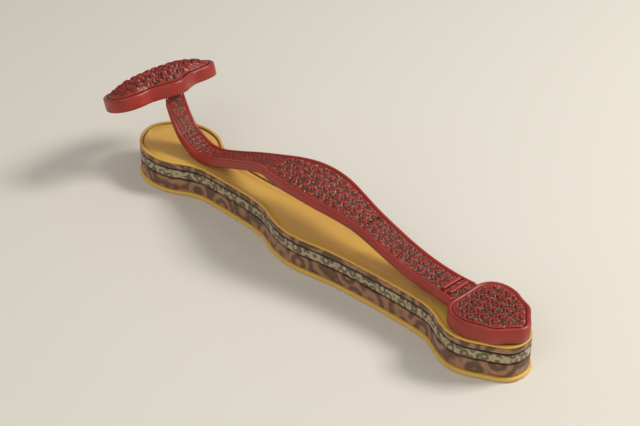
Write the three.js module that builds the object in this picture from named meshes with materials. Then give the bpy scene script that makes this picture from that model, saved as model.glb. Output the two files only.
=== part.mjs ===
// Carved red lacquer ruyi scepter lying on its fitted silk and brocade case.
// Millimetres. X runs along the scepter from the head (-X) to the foot (+X), Z is up,
// and the origin is under the middle of the case, on the surface it stands on.
import * as THREE from 'three';

// Case heights, from the table up
const GAP = 0.3;
const FLANGE_TOP = 3.0;
const SEAM_BOTTOM = 13.2;
const SEAM_TOP = 14.4;
const CORD_BOTTOM = 21.4;
const CORD_TOP = 22.4;
const RIM_BOTTOM = 27.0;
const RIM_TOP = 28.5;
const WALL = 2.4;
const FLANGE_OUT = 1.6;
const BED_BOTTOM = 22.6;
const BED_TOP = 27.6;

// Half outline of the case seen from above: [x, half width]
const CASE = [
  [-198, 0], [-196, 9], [-190, 18], [-180, 26], [-166, 30], [-151, 29.5], [-139, 25.5],
  [-128, 19], [-116, 15], [-95, 14.2], [-60, 14.2], [-42, 16.5], [-26, 22.5], [-10, 26],
  [8, 25.5], [32, 21], [56, 18.5], [85, 17], [112, 16.6], [128, 18], [142, 24.5], [155, 28.5],
  [168, 26.5], [180, 20], [189, 15], [195, 9], [197, 0],
];

// Shaft stations: [x, height of the lit face, half width]
const SHAFT = [
  [-164.6, 70.1, 9.4], [-158, 56.5, 9.5], [-150, 45.5, 9.6], [-141, 39.5, 9.8], [-131, 35.6, 10], [-118, 36.4, 10],
  [-100, 42, 10.2], [-76, 51, 10.8], [-50, 59.5, 12], [-32, 62.4, 17.5], [-16, 64, 20.5],
  [0, 64.4, 21], [16, 63.2, 19.8], [34, 60.4, 16.2], [50, 57, 13.4], [66, 52.4, 12.6],
  [86, 46.6, 12.4], [108, 42.4, 12.4], [128, 41, 12.6], [142.6, 41, 13.4],
];
const SHAFT_THICK = 7.6;
const EDGE_WIDTH = 2.8;
const BACK_THICK = 1.6;
const RELIEF_DEPTH = 1.9;
const NECK_END_X = -40;
const MID_END_X = 55;

// Foot plaque: [x, half width]
const FOOT = [
  [143, 0], [143, 14], [147, 22], [155, 26.4], [166, 26.4], [175, 22.5], [184, 19],
  [190, 12], [196.5, 4], [197, 0],
];
const FOOT_BOTTOM = 29;
const FOOT_TOP = 41;

// Head plaque in its own plane: [x, half width], tilted about Y
const HEAD = [
  [-27, 0], [-28, 10], [-25, 20], [-23, 31], [-19, 42], [-8, 49.5], [6, 50], [15, 44],
  [18, 33], [17, 22], [21, 14], [26, 6], [27, 0],
];
const HEAD_CENTRE = [-181, 0, 71];
const HEAD_TILT = -0.33;
const HEAD_THICK = 11;
const HEAD_DOME = 5;
const RIM_WIDTH = 3.4;

// Colours and finishes of the lacquer, wood and textiles
const lacquer = () => new THREE.MeshStandardMaterial({ color: 0xb23a2c, roughness: 0.4 });
const ground = () => new THREE.MeshStandardMaterial({ color: 0x6e4b32, roughness: 0.7 });
const wood = () => new THREE.MeshStandardMaterial({ color: 0x8a6a44, roughness: 0.8 });
const silk = () => new THREE.MeshStandardMaterial({ color: 0xe0b040, roughness: 0.6 });
const brocade = () => new THREE.MeshStandardMaterial({ color: 0x96694b, roughness: 0.9 });
const olive = () => new THREE.MeshStandardMaterial({ color: 0xa5916e, roughness: 0.9 });
const dark = () => new THREE.MeshStandardMaterial({ color: 0x1c1410, roughness: 0.9 });

const part = new THREE.Group();
const add = (parent, name, geometry, material) => {
  const mesh = new THREE.Mesh(geometry, material);
  mesh.name = name;
  parent.add(mesh);
  return mesh;
};

// A smooth closed outline through a half outline and its mirror image
function ring(half, steps) {
  const mirrored = half.slice(1, -1).reverse().map(([x, y]) => [x, -y]);
  const points = [...half, ...mirrored].map(([x, y]) => new THREE.Vector3(x, y, 0));
  const curve = new THREE.CatmullRomCurve3(points, true, 'centripetal');
  return curve.getPoints(steps).slice(0, -1).map((p) => new THREE.Vector2(p.x, p.y));
}

// The same outline moved in (positive) or out (negative) along its own normals
function inset(points, distance) {
  const n = points.length;
  const area = THREE.ShapeUtils.area(points);
  const side = area > 0 ? 1 : -1;
  return points.map((p, i) => {
    const along = points[(i + 1) % n].clone().sub(points[(i + n - 1) % n]).normalize();
    return new THREE.Vector2(p.x - along.y * distance * side, p.y + along.x * distance * side);
  });
}

// An indexed closed mesh with flat normals
function solid(vertices, faces) {
  const geometry = new THREE.BufferGeometry();
  geometry.setAttribute('position', new THREE.Float32BufferAttribute(vertices.flat(), 3));
  geometry.setIndex(faces);
  geometry.computeVertexNormals();
  return geometry;
}

// An upright wall: full outline when there is no inner outline, otherwise a band between the two
function slab(points, bottom, top, hole) {
  if (!hole) {
    const flat = new THREE.ExtrudeGeometry(new THREE.Shape(points), {
      depth: top - bottom, bevelEnabled: false,
    });
    return flat.translate(0, 0, bottom);
  }
  const n = points.length;
  const turned = THREE.ShapeUtils.area(points) < 0;
  const loops = [[points, bottom], [points, top], [hole, top], [hole, bottom]];
  const vertices = loops.flatMap(([loop, z]) => loop.map((p) => [p.x, p.y, z]));
  const faces = [];
  for (let loop = 0; loop < 4; loop += 1) {
    for (let i = 0; i < n; i += 1) {
      const a = loop * n + i;
      const b = loop * n + ((i + 1) % n);
      const c = ((loop + 1) % 4) * n + i;
      const d = ((loop + 1) % 4) * n + ((i + 1) % n);
      if (turned) faces.push(a, c, b, b, c, d);
      else faces.push(a, b, c, b, d, c);
    }
  }
  return solid(vertices, faces);
}

// A strip along the shaft: a four-sided section at each station, closed at both ends
function strip(stations, section) {
  const vertices = [];
  const faces = [];
  for (const station of stations) vertices.push(...section(station));
  const count = stations.length;
  for (let i = 0; i < count - 1; i += 1) {
    for (let k = 0; k < 4; k += 1) {
      const a = i * 4 + k;
      const b = i * 4 + ((k + 1) % 4);
      faces.push(a, a + 4, b, b, a + 4, b + 4);
    }
  }
  const last = (count - 1) * 4;
  faces.push(0, 1, 2, 0, 2, 3, last, last + 2, last + 1, last, last + 3, last + 2);
  return solid(vertices, faces);
}
const box = (x, yLow, yHigh, zLow, zHigh) => [
  [x, yLow, zLow], [x, yLow, zHigh], [x, yHigh, zHigh], [x, yHigh, zLow],
];

// Finer stations, eased between the measured ones
const spine = new THREE.CatmullRomCurve3(SHAFT.map((s) => new THREE.Vector3(...s)), false, 'centripetal');
const stations = spine.getPoints(54).map((p) => ({ x: p.x, top: p.y, half: p.z }));
function stationAt(x) {
  const i = stations.findIndex((s) => s.x >= x);
  const [low, high] = [stations[i - 1], stations[i]];
  const share = (x - low.x) / (high.x - low.x);
  const mix = (a, c) => a + (c - a) * share;
  return { x, top: mix(low.top, high.top), half: mix(low.half, high.half) };
}
function between(low, high) {
  const inside = stations.filter((s) => s.x > low + 0.5 && s.x < high - 0.5);
  return [stationAt(low), ...inside, stationAt(high)];
}

// Lower case: silk-bound base edge, board core and brocade wall
const outline = ring(CASE, 104);
const inner = inset(outline, WALL);
const core = inset(outline, WALL + GAP);
add(part, 'base_silk_edge', slab(inset(outline, -FLANGE_OUT), 0, FLANGE_TOP), silk());
add(part, 'lower_board', slab(core, FLANGE_TOP + GAP, SEAM_BOTTOM - GAP), wood());
add(part, 'lower_brocade', slab(outline, FLANGE_TOP + GAP, SEAM_BOTTOM - GAP, inner), brocade());
add(part, 'seam_lining', slab(inset(outline, 1.4), SEAM_BOTTOM, SEAM_TOP), dark());

// Upper case: board, two brocade bands with a dark cord between, padded bed and piped rim
const upper = new THREE.Group();
part.add(upper);
add(upper, 'upper_board', slab(core, SEAM_TOP + GAP, BED_BOTTOM - GAP), wood());
add(upper, 'middle_brocade', slab(outline, SEAM_TOP + GAP, CORD_BOTTOM - GAP, inner), olive());
add(upper, 'band_cord', slab(inset(outline, 0.4), CORD_BOTTOM, CORD_TOP, inner), dark());
add(upper, 'upper_brocade', slab(outline, CORD_TOP + GAP, RIM_BOTTOM - GAP, inner), brocade());
add(upper, 'silk_piping', slab(outline, RIM_BOTTOM, RIM_TOP, inner), silk());
add(upper, 'silk_bed', slab(core, BED_BOTTOM, BED_TOP), silk());

// Scepter shaft: wood core, lacquered back, two raised edge mouldings and carved panels
const scepter = new THREE.Group();
part.add(scepter);
const bottom = (s) => s.top - SHAFT_THICK;
const insideHalf = (s) => s.half - EDGE_WIDTH - GAP;
const coreSection = (s) => box(s.x, -insideHalf(s), insideHalf(s),
  bottom(s) + BACK_THICK + GAP, s.top - RELIEF_DEPTH - 2 * GAP);
const backSection = (s) => box(s.x, -insideHalf(s), insideHalf(s), bottom(s), bottom(s) + BACK_THICK);
const reliefSection = (s) => box(s.x, -insideHalf(s), insideHalf(s),
  s.top - RELIEF_DEPTH - GAP, s.top - GAP);
const nearSection = (s) => box(s.x, -s.half, -s.half + EDGE_WIDTH, bottom(s), s.top);
const farSection = (s) => box(s.x, s.half - EDGE_WIDTH, s.half, bottom(s), s.top);
add(scepter, 'shaft_wood_core', strip(stations, coreSection), wood());
add(scepter, 'shaft_back_lacquer', strip(stations, backSection), lacquer());
add(scepter, 'near_edge_moulding', strip(stations, nearSection), lacquer());
add(scepter, 'far_edge_moulding', strip(stations, farSection), lacquer());
add(scepter, 'neck_fret_panel', strip(between(-164.5, NECK_END_X), reliefSection), lacquer());
add(scepter, 'middle_plaque', strip(between(NECK_END_X + GAP, MID_END_X), reliefSection), lacquer());
add(scepter, 'lower_shaft_panel', strip(between(MID_END_X + GAP, 142.5), reliefSection), lacquer());
for (const [name, x] of [['cross_bar_inner', 131], ['cross_bar_outer', 137.5]]) {
  const bar = new THREE.BoxGeometry(3, 18, 1.6);
  add(scepter, name, bar.translate(x, 0, 41 + 0.8), lacquer());
}

// Foot plaque: wood core boxed in by a rim wall, a lacquered back and a carved face
const footOutline = ring(FOOT, 44);
const footInner = inset(footOutline, RIM_WIDTH);
const footCore = inset(footOutline, RIM_WIDTH + GAP);
add(scepter, 'foot_rim', slab(footOutline, FOOT_BOTTOM, FOOT_TOP, footInner), lacquer());
add(scepter, 'foot_back_lacquer', slab(footCore, FOOT_BOTTOM, FOOT_BOTTOM + BACK_THICK), lacquer());
add(scepter, 'foot_wood_core', slab(footCore, FOOT_BOTTOM + BACK_THICK + GAP, FOOT_TOP - 3), wood());
add(scepter, 'foot_relief', slab(footCore, FOOT_TOP - 3 + GAP, FOOT_TOP - GAP), lacquer());

// Head plaque on its tilted plane, seated on the end of the neck
const head = new THREE.Group();
head.position.set(...HEAD_CENTRE);
head.rotation.y = HEAD_TILT;
scepter.add(head);
const headOutline = ring(HEAD, 64);
const headInner = inset(headOutline, RIM_WIDTH);
const headCore = inset(headOutline, RIM_WIDTH + GAP);
const headBottom = -HEAD_THICK / 2;
const headTop = HEAD_THICK / 2;
add(head, 'head_rim', slab(headOutline, headBottom, headTop, headInner), lacquer());
add(head, 'head_back_lacquer', slab(headCore, headBottom, headBottom + BACK_THICK), lacquer());
add(head, 'head_wood_core', slab(headCore, headBottom + BACK_THICK + GAP, headTop - 3), wood());
const face = new THREE.ExtrudeGeometry(new THREE.Shape(inset(headOutline, RIM_WIDTH + GAP + 0.4)), {
  depth: 3 - GAP, bevelEnabled: false,
});
add(head, 'head_ground_layer', face.translate(0, 0, headTop - 3 + GAP), ground());
const crown = new THREE.ExtrudeGeometry(new THREE.Shape(inset(headOutline, RIM_WIDTH + 4)), {
  depth: HEAD_DOME - 2, bevelEnabled: false,
});
add(head, 'head_relief', crown.translate(0, 0, headTop + GAP), lacquer());

export default part;
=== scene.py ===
import bisect
import math

import bmesh
import bpy
from mathutils import Matrix, Vector, noise


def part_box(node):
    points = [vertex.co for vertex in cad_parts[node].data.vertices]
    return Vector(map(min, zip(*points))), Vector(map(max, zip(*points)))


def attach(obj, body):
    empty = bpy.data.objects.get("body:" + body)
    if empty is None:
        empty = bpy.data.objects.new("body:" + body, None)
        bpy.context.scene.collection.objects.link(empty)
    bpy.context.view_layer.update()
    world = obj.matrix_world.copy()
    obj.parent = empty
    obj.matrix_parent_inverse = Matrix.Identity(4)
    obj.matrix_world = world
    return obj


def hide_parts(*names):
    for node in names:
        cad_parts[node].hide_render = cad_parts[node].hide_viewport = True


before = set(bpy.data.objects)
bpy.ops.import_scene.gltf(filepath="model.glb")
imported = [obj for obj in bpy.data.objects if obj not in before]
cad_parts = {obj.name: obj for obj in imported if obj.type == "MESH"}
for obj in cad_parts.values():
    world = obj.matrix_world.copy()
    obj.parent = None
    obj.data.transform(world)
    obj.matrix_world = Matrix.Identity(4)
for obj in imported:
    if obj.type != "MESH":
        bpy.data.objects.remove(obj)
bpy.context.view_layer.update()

# Camera, lamps and floor. The photo looks down on the near long side from the foot end,
# with the main light behind on the right, a weak one in front, and a pale warm floor.
TURN = 0.8078
DIP = 0.5835
REACH = 1.074
AIM = Vector((-0.0377, 0.0386, 0.0))
SENSOR_WIDTH = 36.0
FOCAL_LENGTH = 77.3
ahead = Vector((-math.sin(TURN) * math.cos(DIP), math.cos(TURN) * math.cos(DIP), -math.sin(DIP)))
lens = bpy.data.cameras.new("camera")
lens.sensor_width = SENSOR_WIDTH
lens.lens = FOCAL_LENGTH
camera = bpy.data.objects.new("camera", lens)
bpy.context.collection.objects.link(camera)
camera.location = AIM - ahead * REACH
camera.rotation_euler = ahead.to_track_quat("-Z", "Y").to_euler()
bpy.context.scene.camera = camera
bpy.context.scene.view_settings.view_transform = "Standard"

LIT_POINT = Vector((0, 0, 0.03))


def lamp(name, place, size, watts, colour):
    data = bpy.data.lights.new(name, "AREA")
    data.size = size
    data.energy = watts
    data.color = colour
    made = bpy.data.objects.new(name, data)
    bpy.context.collection.objects.link(made)
    made.location = place
    made.rotation_euler = (LIT_POINT - Vector(place)).to_track_quat("-Z", "Y").to_euler()


lamp("key", place=(0.75, 0.95, 1.25), size=0.5, watts=20, colour=(1.0, 0.97, 0.92))
lamp("fill", place=(0.5, -1.2, 1.0), size=1.2, watts=6, colour=(1.0, 0.98, 0.96))

STUDIO_COLOUR = (0.80, 0.78, 0.74, 1)
STUDIO_STRENGTH = 0.5
world = bpy.data.worlds.new("studio")
world.use_nodes = True
world.node_tree.nodes["Background"].inputs["Color"].default_value = STUDIO_COLOUR
world.node_tree.nodes["Background"].inputs["Strength"].default_value = STUDIO_STRENGTH
bpy.context.scene.world = world

FLOOR_COLOUR = (0.76, 0.73, 0.66, 1)
FLOOR_ROUGHNESS = 0.9
FLOOR_REACH = 8
FLOOR_DROP = 0.0005
paint = bpy.data.materials.new("pale_floor")
paint.use_nodes = True
paint.node_tree.nodes["Principled BSDF"].inputs["Base Color"].default_value = FLOOR_COLOUR
paint.node_tree.nodes["Principled BSDF"].inputs["Roughness"].default_value = FLOOR_ROUGHNESS
floor_mesh = bpy.data.meshes.new("floor")
shape = bmesh.new()
bmesh.ops.create_grid(shape, x_segments=2, y_segments=2, size=FLOOR_REACH)
bmesh.ops.translate(shape, vec=(0, 0, -FLOOR_DROP), verts=shape.verts)
shape.to_mesh(floor_mesh)
shape.free()
floor = bpy.data.objects.new("floor", floor_mesh)
floor.data.materials.append(paint)
bpy.context.collection.objects.link(floor)


# Covering of the case: brown brocade, silver-olive brocade, yellow satin and a dark cord, pasted
# over the edges of its boards.
# The near-black cloth on the seam lining is painted shadow from the overhanging top half. The
# ringed pattern is a generic woven one.
MM = 0.001
WEAVE_SCALE = 2500
WEAVE_STRENGTH = 0.15
FINE_BUMP = 0.2 * MM
RING_SHARE = 0.35
BLOTCHES_PER_CELL = 4


def cloth(name, low, high, scale, rings, rough, sheen):
    made = bpy.data.materials.new(name)
    made.use_nodes = True
    nodes = made.node_tree.nodes
    link = made.node_tree.links.new
    shader = nodes["Principled BSDF"]
    place = nodes.new("ShaderNodeTexCoord")
    cells = nodes.new("ShaderNodeTexVoronoi")
    cells.inputs["Scale"].default_value = scale
    wave = nodes.new("ShaderNodeMath")
    wave.operation = "SINE"
    spread = nodes.new("ShaderNodeMath")
    spread.operation = "MULTIPLY"
    spread.inputs[1].default_value = rings
    blotch = nodes.new("ShaderNodeTexNoise")
    blotch.inputs["Scale"].default_value = scale * BLOTCHES_PER_CELL
    mix = nodes.new("ShaderNodeMath")
    mix.operation = "MULTIPLY_ADD"
    mix.inputs[1].default_value = RING_SHARE
    ramp = nodes.new("ShaderNodeValToRGB")
    ramp.color_ramp.elements[0].position = 0.3
    ramp.color_ramp.elements[0].color = (*low, 1)
    ramp.color_ramp.elements[1].position = 0.75
    ramp.color_ramp.elements[1].color = (*high, 1)
    weave = nodes.new("ShaderNodeTexNoise")
    weave.inputs["Scale"].default_value = WEAVE_SCALE
    bump = nodes.new("ShaderNodeBump")
    bump.inputs["Strength"].default_value = WEAVE_STRENGTH
    bump.inputs["Distance"].default_value = FINE_BUMP
    for pattern in (cells, blotch, weave):
        link(place.outputs["Object"], pattern.inputs["Vector"])
    link(cells.outputs["Distance"], spread.inputs[0])
    link(spread.outputs[0], wave.inputs[0])
    link(wave.outputs[0], mix.inputs[0])
    link(blotch.outputs["Fac"], mix.inputs[2])
    link(mix.outputs[0], ramp.inputs["Fac"])
    link(ramp.outputs["Color"], shader.inputs["Base Color"])
    link(weave.outputs["Fac"], bump.inputs["Height"])
    link(bump.outputs["Normal"], shader.inputs["Normal"])
    shader.inputs["Roughness"].default_value = rough
    shader.inputs["Sheen Weight"].default_value = sheen
    return made


brown_brocade = cloth("brown_brocade", (0.13, 0.06, 0.03), (0.36, 0.18, 0.09),
                      scale=55, rings=16, rough=0.75, sheen=0.2)
olive_brocade = cloth("olive_brocade", (0.12, 0.09, 0.045), (0.46, 0.36, 0.20),
                      scale=150, rings=12, rough=0.6, sheen=0.2)
yellow_satin = cloth("yellow_satin", (0.64, 0.36, 0.045), (0.74, 0.44, 0.06),
                     scale=12, rings=2, rough=0.42, sheen=0.3)
# Near-black cloth: the real colour of the cord, and painted shadow on the seam lining.
dark_cord_and_seam_shade = cloth("dark_cord_and_seam_shade", (0.010, 0.007, 0.005), (0.03, 0.02, 0.015),
                   scale=90, rings=4, rough=0.8, sheen=0.1)

SHARP_CORNER = math.radians(40)
WELD = 0.02 * MM
FLAT_ENOUGH = math.radians(1)


def finished(name, mesh, body, material, nodes, bevel=0.0):
    for face in mesh.polygons:
        face.use_smooth = True
    piece = bpy.data.objects.new(name, mesh)
    piece.data.materials.clear()
    piece.data.materials.append(material)
    bpy.context.collection.objects.link(piece)
    if bevel:
        soften = piece.modifiers.new("soft_edges", "BEVEL")
        soften.width = bevel
        soften.segments = 3
        soften.limit_method = "ANGLE"
        soften.angle_limit = SHARP_CORNER
        soften.harden_normals = True
    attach(piece, body)
    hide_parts(*nodes)
    return piece


def dressed(node, body, material, bevel):
    shape = bmesh.new()
    shape.from_mesh(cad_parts[node].data)
    bmesh.ops.remove_doubles(shape, verts=shape.verts, dist=WELD)
    bmesh.ops.dissolve_limit(shape, angle_limit=FLAT_ENOUGH, verts=shape.verts, edges=shape.edges)
    mesh = bpy.data.meshes.new(node)
    shape.to_mesh(mesh)
    shape.free()
    return finished(node + "_piece", mesh, body, material, [node], bevel)


dressed("base_silk_edge", "case_base", yellow_satin, 1.1 * MM)
dressed("lower_brocade", "case_base", brown_brocade, 0.5 * MM)
# Seam lining in near-black cloth: painted shadow under the overhanging top half of the case.
dressed("seam_lining", "case_base", dark_cord_and_seam_shade, 0.3 * MM)
dressed("middle_brocade", "case_top", olive_brocade, 0.9 * MM)
dressed("band_cord", "case_top", dark_cord_and_seam_shade, 0.3 * MM)
dressed("upper_brocade", "case_top", brown_brocade, 0.8 * MM)
dressed("silk_piping", "case_top", yellow_satin, 0.6 * MM)


# The padded bed: yellow satin over a thin wadding, drawn down along its edge and flat in
# the middle, where the scepter lies. It fills the space inside the piped rim.
BED_CROWN = 0.8 * MM
BED_DROP = 1.0 * MM
BED_SHOULDER = 2.2
BED_THICKNESS = 3 * MM


def half_widths(node):
    widths = {}
    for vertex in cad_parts[node].data.vertices:
        x = round(vertex.co.x, 5)
        widths[x] = max(widths.get(x, 0), abs(vertex.co.y))
    return sorted(widths), widths


def read_off(stations, values, x):
    i = min(max(bisect.bisect_left(stations, x), 1), len(stations) - 1)
    low = stations[i - 1]
    high = stations[i]
    share = min(max((x - low) / (high - low), 0), 1)
    return values[low] + (values[high] - values[low]) * share


bed_x, bed_half = half_widths("silk_bed")
bed_low, bed_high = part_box("silk_bed")
shape = bmesh.new()
bmesh.ops.create_grid(shape, x_segments=260, y_segments=24, size=1)
for vertex in shape.verts:
    across = vertex.co.y
    x = bed_low[0] + (vertex.co.x + 1) / 2 * (bed_high[0] - bed_low[0])
    y = across * read_off(bed_x, bed_half, x)
    crown = BED_CROWN * math.sin(math.pi * min(1, (1 - abs(across)) * BED_SHOULDER))
    vertex.co = (x, y, bed_high[2] - BED_DROP + crown)
bmesh.ops.remove_doubles(shape, verts=shape.verts, dist=WELD)
bmesh.ops.recalc_face_normals(shape, faces=shape.faces)
mesh = bpy.data.meshes.new("silk_bed_padding")
shape.to_mesh(mesh)
shape.free()
bed = finished("silk_bed_padding", mesh, "case_top", yellow_satin, ["silk_bed"])
wadding = bed.modifiers.new("wadding", "SOLIDIFY")
wadding.thickness = BED_THICKNESS
wadding.offset = -1


# Cinnabar lacquer: many coats of red, carved and polished. Each carved piece keeps the depth of
# its cuts in the attribute cut, which darkens the red towards a dark brown painted shade in the
# deeper cuts.
RED = (0.43, 0.034, 0.020, 1)
# Dark brown painted shade for the bottoms of the carved cuts.
PAINTED_CUT_SHADE = (0.12, 0.045, 0.022, 1)
WEAR_SCALE = 45
WEAR_SHARE = 0.55
POLISH_SCALE = 900
POLISH_STRENGTH = 0.12


def carved_lacquer():
    made = bpy.data.materials.new("carved_lacquer")
    made.use_nodes = True
    nodes = made.node_tree.nodes
    link = made.node_tree.links.new
    shader = nodes["Principled BSDF"]
    depth = nodes.new("ShaderNodeAttribute")
    depth.attribute_name = "cut"
    ramp = nodes.new("ShaderNodeValToRGB")
    ramp.color_ramp.elements[0].position = 0.25
    ramp.color_ramp.elements[0].color = RED
    ramp.color_ramp.elements[1].position = 0.85
    ramp.color_ramp.elements[1].color = PAINTED_CUT_SHADE
    place = nodes.new("ShaderNodeTexCoord")
    wear = nodes.new("ShaderNodeTexNoise")
    wear.inputs["Scale"].default_value = WEAR_SCALE
    tint = nodes.new("ShaderNodeMixRGB")
    tint.blend_type = "MULTIPLY"
    tint.inputs["Fac"].default_value = WEAR_SHARE
    grain = nodes.new("ShaderNodeTexNoise")
    grain.inputs["Scale"].default_value = POLISH_SCALE
    bump = nodes.new("ShaderNodeBump")
    bump.inputs["Strength"].default_value = POLISH_STRENGTH
    bump.inputs["Distance"].default_value = FINE_BUMP
    # Cut depth drives the painted shade: the deeper the cut, the darker the red.
    link(depth.outputs["Fac"], ramp.inputs["Fac"])
    link(place.outputs["Object"], wear.inputs["Vector"])
    link(ramp.outputs["Color"], tint.inputs["Color1"])
    link(wear.outputs["Fac"], tint.inputs["Color2"])
    link(tint.outputs["Color"], shader.inputs["Base Color"])
    link(place.outputs["Object"], grain.inputs["Vector"])
    link(grain.outputs["Fac"], bump.inputs["Height"])
    link(bump.outputs["Normal"], shader.inputs["Normal"])
    shader.inputs["Roughness"].default_value = 0.36
    return made


red_lacquer = carved_lacquer()
SMOOTH_LACQUER = {
    "near_edge_moulding": 1.1,
    "far_edge_moulding": 1.1,
    "foot_rim": 1.5,
    "head_rim": 1.5,
    "cross_bar_inner": 0.7,
    "cross_bar_outer": 0.7,
    "shaft_back_lacquer": 0.3,
    "foot_back_lacquer": 0.3,
    "head_back_lacquer": 0.3,
}
for node, rounding in SMOOTH_LACQUER.items():
    dressed(node, "scepter", red_lacquer, rounding * MM)


# Carved strips of the shaft. A generic all-over pattern of curled-petal blossoms stands for
# the real carving. Each blossom sits near the middle of a cell, moved a little by noise.
CARVING_SEED = 7
SCATTER = 0.3
PETALS = 5
CURL = 9
HEART = 0.12
BLOOM = 0.62
STRIP_STEPS_PER_MM = 2.6
STRIP_STEPS_ACROSS = 64
STRIP_SINK = 0.6 * MM
STRIP_THICKNESS = 0.9 * MM
STRIP_MARGIN = 9
noise.seed_set(CARVING_SEED)


def blossom_height(x, y, size):
    cell = size * MM
    best = None
    column = math.floor(x / cell)
    row = math.floor(y / cell)
    for i in range(column - 1, column + 2):
        for j in range(row - 1, row + 2):
            jitter = noise.noise_vector(Vector((i * 1.7 + 0.3, j * 2.3 + 0.7, size)))
            dx = x - (i + 0.5 + SCATTER * jitter.x) * cell
            dy = y - (j + 0.5 + SCATTER * jitter.y) * cell
            reach = math.hypot(dx, dy)
            if best is None or reach < best[0]:
                best = (reach, math.atan2(dy, dx), jitter.z)
    reach, angle, twist = best
    reach /= cell
    hand = 1 if twist > 0 else -1
    petals = math.cos(PETALS * angle + CURL * reach * hand + 6 * twist)
    heart = math.exp(-(reach / HEART) ** 2)
    bloom = max(0, 1 - (reach / BLOOM) ** 4)
    return min(1, max(0, bloom * (0.55 + 0.45 * petals) + heart))


def carve(shape, strength, depth, size):
    cuts = shape.verts.layers.float.new("cut")
    for vertex in shape.verts:
        x, y, z = vertex.co
        height = blossom_height(x, y, size)
        share = strength[vertex.index]
        vertex.co.z = z + (height - 0.5) * depth * share
        vertex[cuts] = (1 - height) * share


def carved_strip(node, size, depth, swell):
    stations, half = half_widths(node)
    tops = {}
    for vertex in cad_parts[node].data.vertices:
        x = round(vertex.co.x, 5)
        tops[x] = max(tops.get(x, -1), vertex.co.z)
    length = stations[-1] - stations[0]
    steps_along = int(length / MM * STRIP_STEPS_PER_MM)
    shape = bmesh.new()
    bmesh.ops.create_grid(shape, x_segments=steps_along, y_segments=STRIP_STEPS_ACROSS, size=1)
    shape.verts.index_update()
    strength = {}
    for vertex in shape.verts:
        across = vertex.co.y
        x = stations[0] + (vertex.co.x + 1) / 2 * length
        strength[vertex.index] = min(1, (1 - abs(across)) * STRIP_MARGIN)
        z = read_off(stations, tops, x) - STRIP_SINK + swell * MM * (1 - across * across)
        vertex.co = (x, across * read_off(stations, half, x), z)
    carve(shape, strength, depth * MM, size)
    mesh = bpy.data.meshes.new(node)
    shape.to_mesh(mesh)
    shape.free()
    piece = finished(node + "_carving", mesh, "scepter", red_lacquer, [node])
    backed = piece.modifiers.new("lacquer_depth", "SOLIDIFY")
    backed.thickness = STRIP_THICKNESS
    backed.offset = -1


carved_strip("neck_fret_panel", size=4.0, depth=1.2, swell=0.3)
carved_strip("middle_plaque", size=7.0, depth=1.8, swell=1.4)
carved_strip("lower_shaft_panel", size=6.2, depth=1.6, swell=0.6)


# Head and foot faces: domed plaques of the same carved lacquer, held inside their smooth
# rims. The outline is the CAD node's own, read off as a radius at each angle.
PLAQUE_STEPS_ROUND = 320
PLAQUE_STEPS_IN = 90
PLAQUE_MARGIN = 8
PLAQUE_WELD = 0.03 * MM
HEAD_CENTRE = (-0.181, 0, 0.071)
HEAD_TILT = -0.33
FOOT_CENTRE_X = 0.168


def carved_plaque(node, nodes, into_place, dome, size, depth, centre_x):
    radii = {}
    level = -1
    out_of_place = into_place.inverted()
    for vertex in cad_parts[node].data.vertices:
        flat = out_of_place @ vertex.co
        angle = math.atan2(flat.y, flat.x - centre_x)
        radii[round(angle, 4)] = math.hypot(flat.x - centre_x, flat.y)
        level = max(level, flat.z)
    turns = sorted(radii)
    shape = bmesh.new()
    bmesh.ops.create_grid(shape, x_segments=PLAQUE_STEPS_ROUND, y_segments=PLAQUE_STEPS_IN, size=1)
    shape.verts.index_update()
    strength = {}
    for vertex in shape.verts:
        angle = vertex.co.x * math.pi
        share = (vertex.co.y + 1) / 2
        reach = share * read_off(turns, radii, angle)
        strength[vertex.index] = min(1, (1 - share) * PLAQUE_MARGIN)
        height = level + dome * MM * (1 - share ** 3)
        vertex.co = (centre_x + reach * math.cos(angle), reach * math.sin(angle), height)
    carve(shape, strength, depth * MM, size)
    bmesh.ops.remove_doubles(shape, verts=shape.verts, dist=PLAQUE_WELD)
    bmesh.ops.recalc_face_normals(shape, faces=shape.faces)
    shape.transform(into_place)
    mesh = bpy.data.meshes.new(node)
    shape.to_mesh(mesh)
    shape.free()
    finished(node + "_carving", mesh, "scepter", red_lacquer, nodes)


head_place = Matrix.Translation(HEAD_CENTRE) @ Matrix.Rotation(HEAD_TILT, 4, "Y")
carved_plaque("head_ground_layer", ["head_ground_layer", "head_relief"], head_place,
              dome=7.5, size=7.0, depth=3.0, centre_x=0)
carved_plaque("foot_relief", ["foot_relief"], Matrix.Identity(4),
              dome=1.6, size=7.5, depth=2.0, centre_x=FOOT_CENTRE_X)


# Hidden wood: the boards of the case and the cores of the scepter, in plain softwood cut to
# shape. The grain runs along the scepter.
GRAIN_SCALE = (20, 400, 400)
TIMBER_DARK = (0.26, 0.15, 0.07, 1)
TIMBER_PALE = (0.48, 0.32, 0.18, 1)


def plain_wood():
    made = bpy.data.materials.new("plain_wood")
    made.use_nodes = True
    nodes = made.node_tree.nodes
    link = made.node_tree.links.new
    place = nodes.new("ShaderNodeTexCoord")
    stretch = nodes.new("ShaderNodeMapping")
    stretch.inputs["Scale"].default_value = GRAIN_SCALE
    grain = nodes.new("ShaderNodeTexNoise")
    ramp = nodes.new("ShaderNodeValToRGB")
    ramp.color_ramp.elements[0].color = TIMBER_DARK
    ramp.color_ramp.elements[1].color = TIMBER_PALE
    link(place.outputs["Object"], stretch.inputs["Vector"])
    link(stretch.outputs["Vector"], grain.inputs["Vector"])
    link(grain.outputs["Fac"], ramp.inputs["Fac"])
    link(ramp.outputs["Color"], nodes["Principled BSDF"].inputs["Base Color"])
    nodes["Principled BSDF"].inputs["Roughness"].default_value = 0.7
    return made


timber = plain_wood()
for node in ("lower_board", "upper_board", "shaft_wood_core", "foot_wood_core", "head_wood_core"):
    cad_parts[node].data.materials.clear()
    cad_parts[node].data.materials.append(timber)
